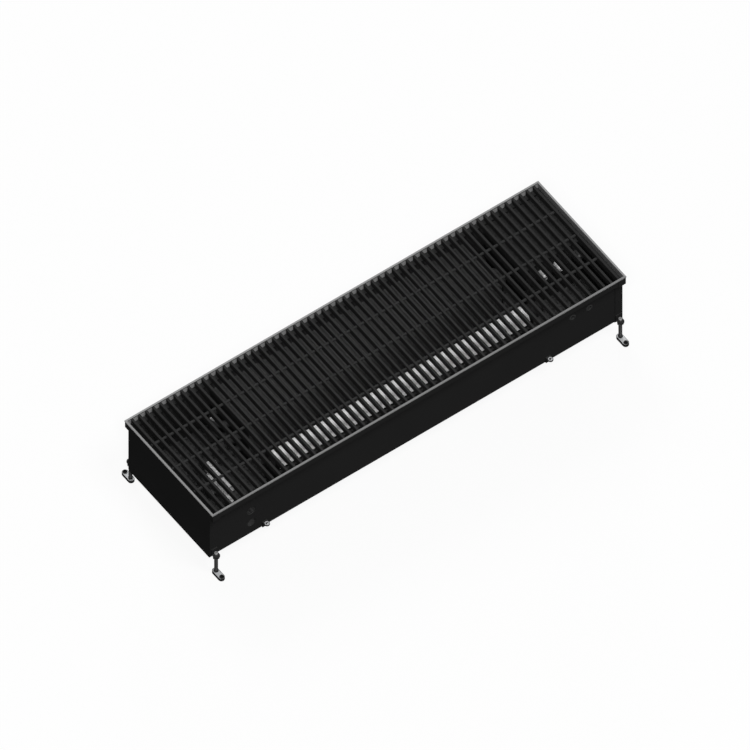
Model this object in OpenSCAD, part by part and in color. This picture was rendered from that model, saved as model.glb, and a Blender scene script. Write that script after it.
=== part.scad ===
// Trench convector heater: a floor trough with a lift-off bar grille over a finned coil and a
// cross-flow fan, on four levelling feet. X runs along the trough, the pipes enter the front
// wall (-Y), Z is up, and the origin is on the floor under the middle of the trough.

/* [Casing] */
// Length over the top rim
rim_length = 1028; // [930:2:1800]
// Width over the top rim
rim_width = 300; // [290:2:340]
// Height from the underside of the trough to the top of the rim
casing_height = 150; // [146:1:180]
// Clear height under the trough
leg_height = 50; // [45:1:70]
// Thickness of the folded steel sheet
sheet = 1.5; // [1:0.25:1.75]
// How far each long wall stands in from the rim's edge
wall_inset = 13; // [12:0.5:16]
// Depth of the stepped seat, from the top of the rim to its underside
seat_depth = 20.5; // [20:0.5:24]
// Width of the strips that the end plates fold round onto the walls
fold_strip = 18; // [14:1:24]

/* [Rim frame] */
// Width of the frame's top edge
rim_edge = 4; // [3.5:0.5:6]
// Thickness of the frame's top flange
rim_flange = 2.5; // [2:0.25:3]
// Height of the rubber strip that the grille lies on
cushion_height = 1.4; // [1:0.1:1.4]

/* [Grille] */
// Distance from one bar to the next
bar_pitch = 17.5; // [14:0.5:22]
// Width of a bar's top face
bar_width = 5.2; // [4:0.2:6.4]
// Height of a bar
bar_height = 15; // [14:0.5:15]
// Play between the bars' ends and the frame
bar_play = 1; // [0.5:0.5:4]
// Distance between the lengthwise rods
rod_spacing = 72.5; // [60:0.5:80]
// Depth of the rods' centre below the bars' top
rod_depth = 8.2; // [8:0.1:9]
// Diameter of the lengthwise rods
rod_d = 3; // [2.5:0.5:3.5]
// Outer diameter of the spacer sleeves on the rods
sleeve_d = 6; // [5:0.5:7]

/* [Heat exchanger] */
// Length of the pipe chamber at the left end
left_chamber = 202; // [195:1:260]
// Length of the wiring chamber at the right end
right_chamber = 192; // [190:1:260]
// Depth of the fin block from front to back
coil_depth = 129; // [122:1:132]
// Height of the fin block
coil_height = 108.5; // [100:0.5:112]
// Distance from one fin to the next
fin_pitch = 6; // [5:0.5:10]
// Thickness of a fin
fin_sheet = 0.6; // [0.4:0.1:1]
// Outer diameter of the water tubes
tube_d = 15; // [12:0.5:16]
// Wall thickness of the water tubes
tube_wall = 1; // [0.8:0.1:1.5]
// Distance between the tube columns
column_pitch = 40; // [38:1:42]
// Distance between the two tube rows
row_pitch = 38; // [36:1:42]

/* [Fan] */
// Diameter of the fan rotor
rotor_d = 40; // [36:1:44]
// Distance of the rotor's axis from the trough's centre line, towards the front
rotor_offset = 65; // [60:1:70]
// Height of the rotor's axis above the underside of the trough
rotor_height = 80; // [74:1:84]
// Number of rotor blades
blade_count = 30; // [20:1:36]
// Number of rotor sections between the support rings
rotor_sections = 7; // [4:1:10]
// Diameter of the fan's stub shafts
shaft_d = 6; // [5:0.5:8]

/* [Connections] */
// Distance of the pipe connections from the left end of the rim
connection_inset = 106; // [100:1:110]
// Diameter of the two pipe holes in the front wall
pipe_hole_d = 22; // [20:1:26]
// Outer diameter of the valves' threaded ends
thread_d = 20.96; // [18:0.01:24]
// Diameter of the two cable holes in the front wall, inside their rubber rings
cable_hole_d = 10; // [8:0.5:12]

/* [Electrics] */
// Length of the electrics box
box_length = 140; // [120:1:140]
// Depth of the electrics box from front to back
box_depth = 141.5; // [126:0.5:142]
// Wall thickness of the electrics box
box_wall = 2; // [1.5:0.25:3]

/* [Feet] */
// Diameter of the threaded foot rods
foot_rod_d = 8; // [6:1:9]
// Distance of the foot rods from the rim's ends
foot_inset = 12; // [10:0.5:14]
// Width of the foot plates
foot_plate_w = 14; // [13:1:18]
// Length of the foot plates
foot_plate_length = 34; // [30:1:44]

/* [Hidden] */
$fn = 48;
// Hair-line overlap that lets one cutter pass through a face
cut = 1;
// Radial play of a part that turns or slides in a hole
play = 0.05;
// Gap between the lift-off grille and the strips under it
lay_gap = 0.1;

half_l = rim_length / 2;
half_w = rim_width / 2;
rim_z = leg_height + casing_height;
deck_z = leg_height + sheet;
seat_z = rim_z - seat_depth + sheet;
cap_x = half_l - sheet;
wall_y = half_w - wall_inset;
inner_y = wall_y - sheet;

// Rim frame profile, seen along a side: a top flange, an upright leg and a foot on the seat
rim_foot = 2;
leg_u = 2 * sheet;
foot_u = wall_inset + sheet;
cushion_z = seat_z + rim_foot;

// Grille
bar_z = cushion_z + cushion_height + lay_gap;
bar_length = rim_width - 2 * rim_edge - 2 * bar_play;
bar_count = floor((rim_length - 2 * rim_edge - bar_width - 2) / bar_pitch) + 1;
grille_end = (bar_count - 1) * bar_pitch / 2;
bar_head = 3;
bar_step = 0.4;
bar_chamfer = 0.5;
web_w = bar_width - 2 * bar_step;
rod_z = bar_z + bar_height - rod_depth;
clip_t = 3;

// Heat exchanger
coil_x0 = left_chamber - half_l;
coil_x1 = half_l - right_chamber;
coil_y1 = inner_y - 1.5;
coil_y0 = coil_y1 - coil_depth;
coil_z0 = deck_z + 3;
tube_r = tube_d / 2;
tube_y = [for (i = [0:2]) coil_y0 + coil_depth / 2 + (i - 1) * column_pitch];
tube_z = [coil_z0 + 32, coil_z0 + 32 + row_pitch];
tube_stub = 4;
tail_x0 = coil_x0 - tube_stub;
tail_x1 = coil_x1 + tube_stub;

// Fan
rotor_r = rotor_d / 2;
rotor_y = -rotor_offset;
rotor_z = leg_height + rotor_height;
rotor_x0 = coil_x0 + 16;
rotor_x1 = coil_x1;
shaft_r = shaft_d / 2;
hub_t = 3;
bush_r = 10;
bracket_x0 = rotor_x0 - 8;
bracket_x1 = rotor_x1 + 5;
guide_sheet = 1;

// Connections
pipe_x = connection_inset - half_l;
nut_y = coil_y0 + 1;
nut_length = 12;
valve_y = nut_y - nut_length;
bonnet_y = valve_y - 23.5;
valve_end = -69;
valve_bore_r = 6;
thread_length = 12;
bonnet_r = 9;
elbow_r = 19;

// Electrics
box_x0 = half_l - 6 - box_length;
box_y0 = coil_y1 - 1 - box_depth;
lid_t = 2;
box_z1 = seat_z - lid_t - 0.5;
gland_x = [box_x0 + 36, box_x0 + 75, box_x0 + box_length - 18];
gland_z = box_z1 - 30.5;
gland_r = 8;
cable_x = [box_x0 + 21, box_x0 + 63];

// Feet
foot_r = foot_rod_d / 2;
lug_z = leg_height + 17;
bracket_z = leg_height + 10;
lug_t = 2.5;
lug_gap = 0.5;
rod_out = lug_t + lug_gap + foot_r;
foot_x = half_l - foot_inset;
foot_y = wall_y + sheet + rod_out;
foot_pad_t = 4;
foot_plate_t = 3;
foot_top = foot_pad_t + foot_plate_t;
foot_heel = 9;
shoe_wall = 1;
shoe_rim = 0.5;
collar_r = 4;
collar_ring_r = collar_r + 1;
anchor_out = foot_plate_length - foot_heel - shoe_wall - collar_ring_r;
spigot_r = 2.5;
nut_h = 6.5;
nut_r = 0.94 * foot_rod_d;
anchor_r = 2.75;
edge_lug_x = [138 - half_l, half_l - 186];

// ---------- Shared shapes ----------

// Carries a flat shape drawn in Y and Z along X.
module along_x(x0, x1) {
    translate([x0, 0, 0]) rotate([90, 0, 90]) linear_extrude(x1 - x0) children();
}

// A round bar or, with a bore, a tube along +X.
module round_x(x0, x1, y, z, r, bore = 0) {
    along_x(x0, x1) translate([y, z]) difference() {
        circle(r);
        if (bore > 0) circle(bore);
    }
}

// A round bar or tube along Y, from y0 up to y1.
module round_y(y0, y1, x, z, r, bore = 0) {
    translate([x, y1, z]) rotate([90, 0, 0]) linear_extrude(y1 - y0) difference() {
        circle(r);
        if (bore > 0) circle(bore);
    }
}

// The wall of a bent tube, lying flat: its centre line turns through an angle at a radius.
module tube_bend(bend_r, angle, outer_r = tube_r) {
    rotate_extrude(angle = angle) translate([bend_r, 0]) difference() {
        circle(outer_r);
        circle(tube_r - tube_wall);
    }
}

// Corner of a square that lies outside a quarter round; the corner is at the origin.
module corner_waste(r) {
    difference() {
        translate([-cut, -cut]) square(r + cut);
        translate([r, r]) circle(r);
    }
}

// Outline of the trough's stepped section, drawn in by an inset (out, if it is negative).
module casing_outline(inset, top = rim_z - rim_flange) {
    lip = half_w - sheet - inset;
    wall = wall_y - inset;
    seat = seat_z - sheet + inset;
    base = leg_height + inset;
    fold_r = 2 * sheet - inset;
    difference() {
        polygon([
            [-lip, top], [-lip, seat], [-wall, seat], [-wall, base],
            [wall, base], [wall, seat], [lip, seat], [lip, top]
        ]);
        for (side = [0, 1]) mirror([side, 0]) translate([-wall, base]) corner_waste(fold_r);
    }
}

// Points of a thick line: the path's left side, then its right side taken backwards.
function unit(v) = v / norm(v);
function path_normal(path, i) =
    let (a = path[max(i - 1, 0)], b = path[min(i + 1, len(path) - 1)], t = unit(b - a)) [-t[1], t[0]];
function ribbon(path, t) = concat(
    [for (i = [0:len(path) - 1]) path[i] + path_normal(path, i) * t / 2],
    [for (i = [len(path) - 1:-1:0]) path[i] - path_normal(path, i) * t / 2]
);

// Keeps the part of a rim member that lies between the mitres of one side.
module mitred_side(along, across) {
    depth = foot_u + cut;
    intersection() {
        children();
        translate([0, -across / 2]) linear_extrude(rim_z + cut) polygon([
            [-along / 2, 0], [along / 2, 0], [along / 2 - depth, depth], [depth - along / 2, depth]
        ]);
    }
}

// A straight rim member along X whose section is given from the outer edge inwards.
module rim_member(along, across, section) {
    mitred_side(along, across)
        along_x(-along / 2, along / 2) translate([-across / 2, 0]) polygon(section);
}

// Puts a long-side or end member in its place: 0 front, 1 right, 2 back, 3 left.
module rim_side(side, section) {
    is_long = side % 2 == 0;
    along = is_long ? rim_length : rim_width;
    across = is_long ? rim_width : rim_length;
    rotate([0, 0, 90 * side]) rim_member(along, across, section);
}

// Dome-headed screw, seen from above, seated at the origin.
module screw_head(r) {
    difference() {
        rotate_extrude() intersection() {
            translate([0, -r]) circle(1.55 * r);
            square([r, r]);
        }
        translate([0, 0, 0.2 * r]) cylinder(h = r, r = 0.45 * r, $fn = 6);
    }
}

// ---------- Casing ----------

module trough() {
    color("#1b1b1c") difference() {
        along_x(-cap_x + sheet, cap_x - sheet) difference() {
            casing_outline(0);
            casing_outline(sheet, rim_z);
        }
        for (z = tube_z) round_y(-half_w, -inner_y + cut, pipe_x, z, pipe_hole_d / 2);
        for (x = cable_x) round_y(-half_w, -inner_y + cut, x, gland_z, cable_hole_d / 2 + 1);
    }
}

// A plate across the end, with its edge folded round onto the trough's outside.
module end_plate(side) {
    color("#1b1b1c") mirror([side, 0, 0]) {
        along_x(cap_x - sheet, cap_x) casing_outline(-sheet);
        along_x(cap_x - fold_strip, cap_x - sheet) difference() {
            casing_outline(-sheet);
            casing_outline(0, rim_z);
        }
    }
}

// ---------- Rim frame ----------

frame_section = [
    [0, rim_z - rim_flange], [0, rim_z], [rim_edge, rim_z], [rim_edge, cushion_z],
    [foot_u, cushion_z], [foot_u, seat_z], [leg_u, seat_z], [leg_u, rim_z - rim_flange]
];
cushion_section = [
    [rim_edge + 0.3, cushion_z], [rim_edge + 0.3, cushion_z + cushion_height],
    [foot_u - 1, cushion_z + cushion_height], [foot_u - 1, cushion_z]
];

module frame_member(side) { color("#c9cbcc") rim_side(side, frame_section); }
module cushion_strip(side) { color("#141414") rim_side(side, cushion_section); }

// ---------- Heat exchanger ----------

// Fins on the collars that space them, with the bores that the tubes are expanded into.
module coil_fins() {
    count = floor((coil_x1 - coil_x0 - 2 * sheet - fin_sheet) / fin_pitch);
    run = (count - 1) * fin_pitch;
    x0 = (coil_x0 + coil_x1 - run) / 2;
    collar_r = tube_r + 0.8;
    color("#202021") difference() {
        union() {
            for (i = [0:count - 1])
                translate([x0 + i * fin_pitch - fin_sheet / 2, coil_y0, coil_z0])
                    cube([fin_sheet, coil_depth, coil_height]);
            for (y = tube_y, z = tube_z) round_x(x0, x0 + run, y, z, collar_r);
        }
        for (y = tube_y, z = tube_z) round_x(coil_x0, coil_x1, y, z, tube_r);
    }
}

module coil_tubes() {
    color("#232324") for (y = tube_y, z = tube_z)
        round_x(tail_x0, tail_x1, y, z, tube_r, tube_r - tube_wall);
}

// Five return bends that join the six tubes into one path for the water.
module coil_bends() {
    color("#232324") {
        for (z = tube_z) {
            translate([tail_x0, (tube_y[1] + tube_y[2]) / 2, z])
                rotate([0, 0, 90]) tube_bend(column_pitch / 2, 180);
            translate([tail_x1, (tube_y[0] + tube_y[1]) / 2, z])
                rotate([0, 0, -90]) tube_bend(column_pitch / 2, 180);
        }
        translate([tail_x1, tube_y[2], (tube_z[0] + tube_z[1]) / 2])
            rotate([90, 0, 0]) rotate([0, 0, -90]) tube_bend(row_pitch / 2, 180);
    }
}

// A sheet across the tubes, standing on the trough's floor on a folded foot.
module coil_end(side) {
    foot = 16;
    x = side == 0 ? coil_x0 : coil_x1 - sheet;
    foot_x0 = side == 0 ? coil_x0 - foot : coil_x1;
    color("#1f1f20") difference() {
        union() {
            translate([x, coil_y0, deck_z]) cube([sheet, coil_depth, coil_z0 + coil_height - deck_z]);
            translate([foot_x0, coil_y0, deck_z]) cube([foot, coil_depth, sheet]);
        }
        for (y = tube_y, z = tube_z) round_x(x - cut, x + sheet + cut, y, z, tube_r);
        for (y = [coil_y0 + 12, coil_y1 - 12]) translate([foot_x0 + foot / 2, y, 0])
            cylinder(h = rim_z, r = 2.2);
    }
}

// Bleed nipple on the highest bend of the coil.
module air_vent() {
    y = (tube_y[1] + tube_y[2]) / 2;
    x = tail_x0 - column_pitch / 2;
    color("#c4c6c8") translate([x, y, tube_z[1] + tube_r - 0.6]) {
        rotate_extrude() polygon([[0, 0], [5, 0], [5, 3], [3.5, 3], [3.5, 11], [2.6, 12], [0, 12]]);
        translate([0, 0, 2]) cylinder(h = 5, r = 6, $fn = 6);
        translate([0, 0, 9]) rotate([0, -90, 0]) cylinder(h = 9, r = 1.6);
    }
}

// ---------- Pipes and valves ----------

// From the coil's front tube towards the left, then round towards the front wall.
module coil_tail(z) {
    color("#232324") {
        round_x(pipe_x + elbow_r, tail_x0, tube_y[0], z, tube_r, tube_r - tube_wall);
        translate([pipe_x + elbow_r, tube_y[0] - elbow_r, z]) rotate([0, 0, 90]) tube_bend(elbow_r, 90);
        round_y(valve_y, tube_y[0] - elbow_r, pipe_x, z, tube_r, tube_r - tube_wall);
    }
}

module union_nuts() {
    color("#c4c6c8") for (z = tube_z) difference() {
        union() {
            translate([pipe_x, nut_y, z]) rotate([90, 30, 0]) cylinder(h = nut_length, r = 14.5, $fn = 6);
            round_y(nut_y, nut_y + 2.5, pipe_x, z, 11);
        }
        round_y(valve_y - cut, nut_y + 2.5 + cut, pipe_x, z, tube_r);
    }
}

// A straight valve along the pipe, with its bonnet lying towards the left end.
module valve_body(z) {
    r = thread_d / 2;
    neck_r = 9.2;
    length = valve_y - valve_end;
    color("#c4c6c8") difference() {
        union() {
            translate([pipe_x, valve_y, z]) rotate([90, 0, 0]) rotate_extrude() polygon([
                [0, 0], [r, 0], [r, 12], [12.5, 14], [13.5, 20], [13.5, 27], [12.5, 33],
                [neck_r, 35], [neck_r, length - thread_length], [r, length - thread_length],
                [r, length], [0, length]
            ]);
            translate([pipe_x, bonnet_y, z]) rotate([0, -90, 0]) cylinder(h = 20, r = bonnet_r);
            translate([pipe_x - 13, bonnet_y, z]) rotate([0, -90, 0]) cylinder(h = 5, r = 13, $fn = 6);
        }
        round_y(valve_end - cut, valve_y + cut, pipe_x, z, valve_bore_r);
    }
}

module supply_valve() { valve_body(tube_z[1]); }

// The return valve is shut with a key, so a plain blind cap covers its spindle.
module return_valve() {
    valve_body(tube_z[0]);
    color("#c4c6c8") translate([pipe_x - 20, bonnet_y, tube_z[0]]) rotate([0, -90, 0]) {
        cylinder(h = 8, r = 10.5, $fn = 6);
        translate([0, 0, 8]) rotate_extrude() polygon([[0, 0], [9, 0], [7.5, 3], [0, 3]]);
    }
}

// Hand cap on the supply valve's spindle: a ribbed cup that turns on the bonnet.
module supply_valve_cap() {
    cap_r = 14;
    ribs = 18;
    color("#1d1d1e") translate([pipe_x - 18.3, bonnet_y, tube_z[1]]) rotate([0, -90, 0])
        difference() {
            union() {
                cylinder(h = 19, r = cap_r - 0.8);
                translate([0, 0, 19]) rotate_extrude()
                    polygon([[0, 0], [cap_r - 0.8, 0], [cap_r - 3, 3], [0, 3]]);
                for (i = [0:ribs - 1]) rotate([0, 0, i * 360 / ribs])
                    translate([cap_r - 1.4, -0.8, 1]) cube([1.4, 1.6, 17]);
            }
            translate([0, 0, -cut]) cylinder(h = 3 + cut, r = bonnet_r + play);
        }
}

// ---------- Fan ----------

// One forward-curved blade: a slice of a ring that leaves the rotor's inner circle along a radius
// and leans over to about 30 degrees from the outer circle.
module blade_slice() {
    blade_t = 0.5;
    root_r = 0.72 * rotor_r;
    curve_r = 0.275 * rotor_r;
    intersection() {
        translate([root_r, curve_r]) difference() {
            circle(curve_r + blade_t / 2);
            circle(curve_r - blade_t / 2);
        }
        difference() {
            circle(rotor_r - 0.2);
            circle(root_r);
        }
        translate([0, -blade_t]) square([rotor_r, curve_r]);
    }
}

// Blades carried through the support rings that divide the rotor into sections.
module fan_rotor() {
    ring_t = 1.2;
    step = (rotor_x1 - rotor_x0 - ring_t) / rotor_sections;
    color("#d6d8da") {
        along_x(rotor_x0, rotor_x1) translate([rotor_y, rotor_z])
            for (i = [0:blade_count - 1]) rotate(i * 360 / blade_count) blade_slice();
        for (i = [0:rotor_sections]) {
            inner = i == 0 || i == rotor_sections ? 0 : 0.62 * rotor_r;
            x = rotor_x0 + i * step;
            round_x(x, x + ring_t, rotor_y, rotor_z, rotor_r, inner);
        }
    }
}

// A hub and stub shaft on each end ring: the left one runs in the bush, the right in the motor.
module fan_stub_shafts() {
    color("#b9bcbf") {
        round_x(rotor_x0 - hub_t, rotor_x0, rotor_y, rotor_z, 7);
        round_x(bracket_x0 - 8, rotor_x0 - hub_t, rotor_y, rotor_z, shaft_r);
        round_x(rotor_x1, rotor_x1 + hub_t, rotor_y, rotor_z, 7);
        round_x(rotor_x1 + hub_t, bracket_x1 + 20, rotor_y, rotor_z, shaft_r);
    }
}

// Rubber-flanged plain bearing, snapped into the left bracket.
module fan_bush() {
    color("#18181a") translate([bracket_x0, rotor_y, rotor_z]) rotate([0, 90, 0]) rotate_extrude()
        polygon([
            [shaft_r + play, -4], [8, -4], [bush_r + 2, -2], [bush_r + 2, 0], [bush_r, 0],
            [bush_r, sheet], [bush_r + 2, sheet], [bush_r + 2, sheet + 1], [8, sheet + 2.5],
            [shaft_r + play, sheet + 2.5]
        ]);
}

// Upright plate with a round head and a folded foot, holding one end of the fan.
module fan_bracket(x, hole_r, foot_side) {
    head_r = rotor_r + 3;
    foot = 14;
    color("#1f1f20") {
        along_x(x, x + sheet) difference() {
            union() {
                translate([rotor_y, rotor_z]) circle(head_r);
                translate([rotor_y - head_r, deck_z]) square([2 * head_r, rotor_z - deck_z]);
            }
            translate([rotor_y, rotor_z]) circle(hole_r);
        }
        difference() {
            translate([foot_side < 0 ? x - foot : x, rotor_y - head_r, deck_z])
                cube([foot + sheet, 2 * head_r, sheet]);
            for (y = [-14, 14])
                translate([x + sheet / 2 + foot_side * 8, rotor_y + y, deck_z - cut])
                    cylinder(h = 3 * sheet, r = 2.2);
        }
    }
}

module fan_bracket_left() { fan_bracket(bracket_x0, bush_r, -1); }
module fan_bracket_right() { fan_bracket(bracket_x1, 9, 1); }

// Ribbed motor can behind the right bracket, with a boss that centres it in the plate.
module fan_motor() {
    x = bracket_x1 + sheet;
    can_r = 17;
    length = 32;
    color("#1a1a1c") translate([x, rotor_y, rotor_z]) rotate([0, 90, 0]) difference() {
        union() {
            translate([0, 0, -sheet]) cylinder(h = sheet, r = 9);
            rotate_extrude() polygon([
                [0, 0], [can_r, 0], [can_r, 5], [can_r - 1.5, 6], [can_r - 1.5, length - 4],
                [can_r - 4, length], [0, length]
            ]);
            for (i = [0:11]) rotate([0, 0, i * 30]) translate([can_r - 2, -0.9, 4])
                cube([1.6, 1.8, length - 10]);
        }
        translate([0, 0, -sheet - cut]) cylinder(h = 21 + cut, r = shaft_r + play);
    }
}

// Scroll under the rotor that opens towards the coil, then runs down to a foot on the floor.
module air_guide() {
    start = 222;
    sweep = 46;
    steps = 10;
    near_r = rotor_r + 4;
    spiral = [for (i = [0:steps]) let (a = start + sweep * i / steps, r = near_r + 5 * i / steps)
        [rotor_y + r * cos(a), rotor_z + r * sin(a)]];
    lip = spiral[0] + [-3.5, -3];
    run_out = [[coil_y0 - 26, deck_z + 14], [coil_y0 - 16, deck_z + guide_sheet / 2],
        [coil_y0 - 1, deck_z + guide_sheet / 2]];
    color("#1f1f20") along_x(bracket_x0 + sheet, bracket_x1)
        polygon(ribbon(concat([lip], spiral, run_out), guide_sheet));
}

// ---------- Electrics ----------

module electrics_box() {
    inside = [box_length - 2 * box_wall, box_depth - 2 * box_wall, rim_z];
    color("#1c1c1d") difference() {
        translate([box_x0, box_y0, deck_z]) cube([box_length, box_depth, box_z1 - deck_z]);
        translate([box_x0 + box_wall, box_y0 + box_wall, deck_z + box_wall]) cube(inside);
        for (x = gland_x)
            round_y(box_y0 - cut, box_y0 + box_wall + cut, x, gland_z, gland_r + play);
    }
}

// Flat lid with a shallow skirt that drops inside the box.
module electrics_lid() {
    inset = box_wall + 0.3;
    skirt = [box_length - 2 * inset, box_depth - 2 * inset, 3];
    color("#1c1c1d") {
        translate([box_x0, box_y0, box_z1]) cube([box_length, box_depth, lid_t]);
        translate([box_x0 + inset, box_y0 + inset, box_z1 - 3]) difference() {
            cube(skirt);
            translate([box_wall, box_wall, -cut])
                cube([skirt[0] - 2 * box_wall, skirt[1] - 2 * box_wall, 3 + cut]);
        }
    }
}

module lid_screws() {
    inset = 14;
    color("#8f9193") for (x = [inset, box_length - inset], y = [inset, box_depth - inset])
        translate([box_x0 + x, box_y0 + y, box_z1 + lid_t]) screw_head(3.5);
}

// Fan speed controller with its terminal row, standing on the box's floor.
module control_module() {
    base = [box_length - 40, 84, 34];
    color("#3a3d40") translate([box_x0 + 20, box_y0 + 34, deck_z + box_wall]) {
        cube(base);
        translate([5, 2, base[2]]) difference() {
            cube([base[0] - 10, 12, 12]);
            for (x = [5:9:base[0] - 22]) translate([x, -cut, 6]) cube([6.5, 6, 7]);
        }
    }
}

// Screwed cable glands: a hexagon against the box, and a domed nut that grips the cable.
module cable_glands() {
    color("#c4c6c8") for (x = gland_x) translate([x, box_y0, gland_z]) rotate([90, 0, 0])
        difference() {
            union() {
                translate([0, 0, -box_wall - 5]) cylinder(h = box_wall + 5, r = gland_r);
                cylinder(h = 5, r = 10.5, $fn = 6);
                translate([0, 0, 5]) rotate_extrude()
                    polygon([[0, 0], [8.6, 0], [8.6, 9], [7, 12.5], [5.2, 14], [0, 14]]);
                for (i = [0:5]) rotate([0, 0, i * 60]) translate([8, -1.6, 5]) cube([1.2, 3.2, 8]);
            }
            translate([0, 0, -box_wall - 6]) cylinder(h = box_wall + 26, r = 4);
        }
}

// Rubber rings that line the cable holes in the front wall.
module cable_rings() {
    bore = cable_hole_d / 2;
    color("#101011") for (x = cable_x) translate([x, -wall_y, gland_z]) rotate([90, 0, 0])
        rotate_extrude() polygon([
            [bore, -sheet - 1.2], [bore + 2.6, -sheet - 1.2], [bore + 2.6, -sheet], [bore + 1, -sheet],
            [bore + 1, 0], [bore + 2.6, 0], [bore + 2.6, 0.6], [bore + 2, 1.2], [bore, 1.2]
        ]);
}

// ---------- Brackets and feet ----------

// A folded lug on the wall at a given point, with a round nose and one hole out from the wall.
// Its leg lies on the wall between two heights, counted from the lug's top face.
module wall_lug(at, width, reach, leg_from, leg_to, hole_out, hole_r) {
    nose = width / 2;
    translate(at) {
        translate([-nose, -lug_t, leg_from]) cube([width, lug_t, leg_to - leg_from]);
        difference() {
            translate([0, 0, -lug_t]) linear_extrude(lug_t) union() {
                translate([-nose, nose - reach]) square([width, reach - nose]);
                translate([0, nose - reach]) circle(nose);
            }
            translate([0, -hole_out, -lug_t - cut]) cylinder(h = lug_t + 2 * cut, r = hole_r);
        }
    }
}

// Front and back copies of what is drawn at the front wall.
module front_and_back() {
    children();
    mirror([0, 1, 0]) children();
}

// The legs of these four go up the wall, so that the nut can sit close to it.
module foot_brackets() {
    leg = 14;
    color("#1e1f20") front_and_back() for (x = [-foot_x, foot_x])
        wall_lug([x, -wall_y - sheet, bracket_z], 14, rod_out + 9, -lug_t, leg, rod_out, foot_r + play);
}

module foot_nuts() {
    color("#3a3b3c") front_and_back() for (x = [-foot_x, foot_x])
        translate([x, -foot_y, bracket_z - lug_t - nut_h]) difference() {
            cylinder(h = nut_h, r = nut_r, $fn = 6);
            translate([0, 0, -cut]) cylinder(h = nut_h + 2 * cut, r = foot_r + play);
        }
}

module edge_lugs() {
    color("#1e1f20") front_and_back() for (x = edge_lug_x)
        wall_lug([x, -wall_y, lug_z], 12, 15, -16, 0, 9, anchor_r);
}

module lug_screws() {
    color("#3a3b3c") front_and_back() for (x = edge_lug_x)
        translate([x, -wall_y - lug_t, lug_z - 10]) rotate([90, 0, 0]) screw_head(3);
}

// Puts a foot that is drawn at the origin, with its toe towards -Y, under one corner.
module at_corner(side_x, side_y) {
    translate([side_x * foot_x, side_y * foot_y, 0]) mirror([0, side_y > 0 ? 1 : 0, 0]) children();
}

// Threaded rod with a screwdriver slot on top and a spigot that the plate swivels on.
module foot_rod(side_x, side_y) {
    top = bracket_z + 7;
    tip = foot_pad_t + 0.3;
    shoulder = foot_top + 0.2;
    color("#4a4b4c") at_corner(side_x, side_y) difference() {
        rotate_extrude() polygon([
            [0, tip], [spigot_r, tip], [spigot_r, shoulder], [foot_r, shoulder],
            [foot_r, top - 1], [foot_r - 1, top], [0, top]
        ]);
        translate([-foot_r - cut, -0.6, top - 2.5]) cube([2 * foot_r + 2 * cut, 1.2, 2.5 + cut]);
    }
}

// Thrust ring pressed on the rod's end, that spreads the load over the plate.
module foot_collar(side_x, side_y) {
    ring_h = 1.5;
    color("#3a3b3c") at_corner(side_x, side_y) translate([0, 0, foot_top + 0.3]) difference() {
        cylinder(h = ring_h, r = foot_r + 1);
        translate([0, 0, -cut]) cylinder(h = ring_h + 2 * cut, r = foot_r);
    }
}

// Round-ended outline of a foot with the rod near its heel, its edge drawn in by inset.
module foot_outline(inset) {
    end_r = foot_plate_w / 2;
    heel_y = foot_heel - end_r;
    toe_y = foot_heel + end_r - foot_plate_length;
    for (y = [heel_y, toe_y]) translate([0, y]) circle(end_r - inset);
    translate([inset - end_r, toe_y]) square([2 * (end_r - inset), heel_y - toe_y]);
}

// Steel plate in the rubber shoe: the rod's spigot turns in it.
module foot_plate(side_x, side_y) {
    color("#cfd1d2") at_corner(side_x, side_y) translate([0, 0, foot_pad_t]) difference() {
        linear_extrude(foot_plate_t) foot_outline(shoe_wall);
        translate([0, 0, -cut]) cylinder(h = foot_plate_t + 2 * cut, r = spigot_r + play);
        translate([0, -anchor_out, -cut]) cylinder(h = foot_plate_t + 2 * cut, r = collar_r);
    }
}

// Rubber shoe round the plate, with a collar that comes up through it and lines the anchor hole.
module foot_pad(side_x, side_y) {
    ring_h = 1.2;
    color("#101011") at_corner(side_x, side_y) difference() {
        union() {
            difference() {
                linear_extrude(foot_top - shoe_rim) foot_outline(0);
                translate([0, 0, foot_pad_t]) linear_extrude(foot_plate_t) foot_outline(shoe_wall);
            }
            translate([0, -anchor_out, foot_pad_t - cut]) cylinder(h = foot_plate_t + cut, r = collar_r);
            translate([0, -anchor_out, foot_top]) cylinder(h = ring_h, r = collar_ring_r);
        }
        translate([0, -anchor_out, -cut]) cylinder(h = foot_top + ring_h + 2 * cut, r = anchor_r);
    }
}

// ---------- Grille ----------

// Section of a grille bar: a wider head with chamfered edges on a slimmer web.
module bar_section() {
    top = bar_z + bar_height;
    head = bar_width / 2;
    web = web_w / 2;
    polygon([
        [-web, bar_z], [-web, top - bar_head], [-head, top - bar_head], [-head, top - bar_chamfer],
        [bar_chamfer - head, top], [head - bar_chamfer, top], [head, top - bar_chamfer],
        [head, top - bar_head], [web, top - bar_head], [web, bar_z]
    ]);
}

module grille_bars() {
    color("#242425") difference() {
        for (i = [0:bar_count - 1]) translate([i * bar_pitch - grille_end, bar_length / 2, 0])
            rotate([90, 0, 0]) linear_extrude(bar_length) bar_section();
        for (y = [-rod_spacing, 0, rod_spacing])
            round_x(-half_l, half_l, y, rod_z, rod_d / 2 + play);
    }
}

module grille_rods() {
    reach = grille_end + web_w / 2 + clip_t + 1;
    color("#3a3a3b") for (y = [-rod_spacing, 0, rod_spacing])
        round_x(-reach, reach, y, rod_z, rod_d / 2);
}

// Sleeves on the rods that hold the bars apart.
module grille_sleeves() {
    color("#333334") for (i = [0:bar_count - 2], y = [-rod_spacing, 0, rod_spacing]) {
        x = i * bar_pitch - grille_end + web_w / 2;
        round_x(x, x + bar_pitch - web_w, y, rod_z, sleeve_d / 2, rod_d / 2 + play);
    }
}

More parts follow.
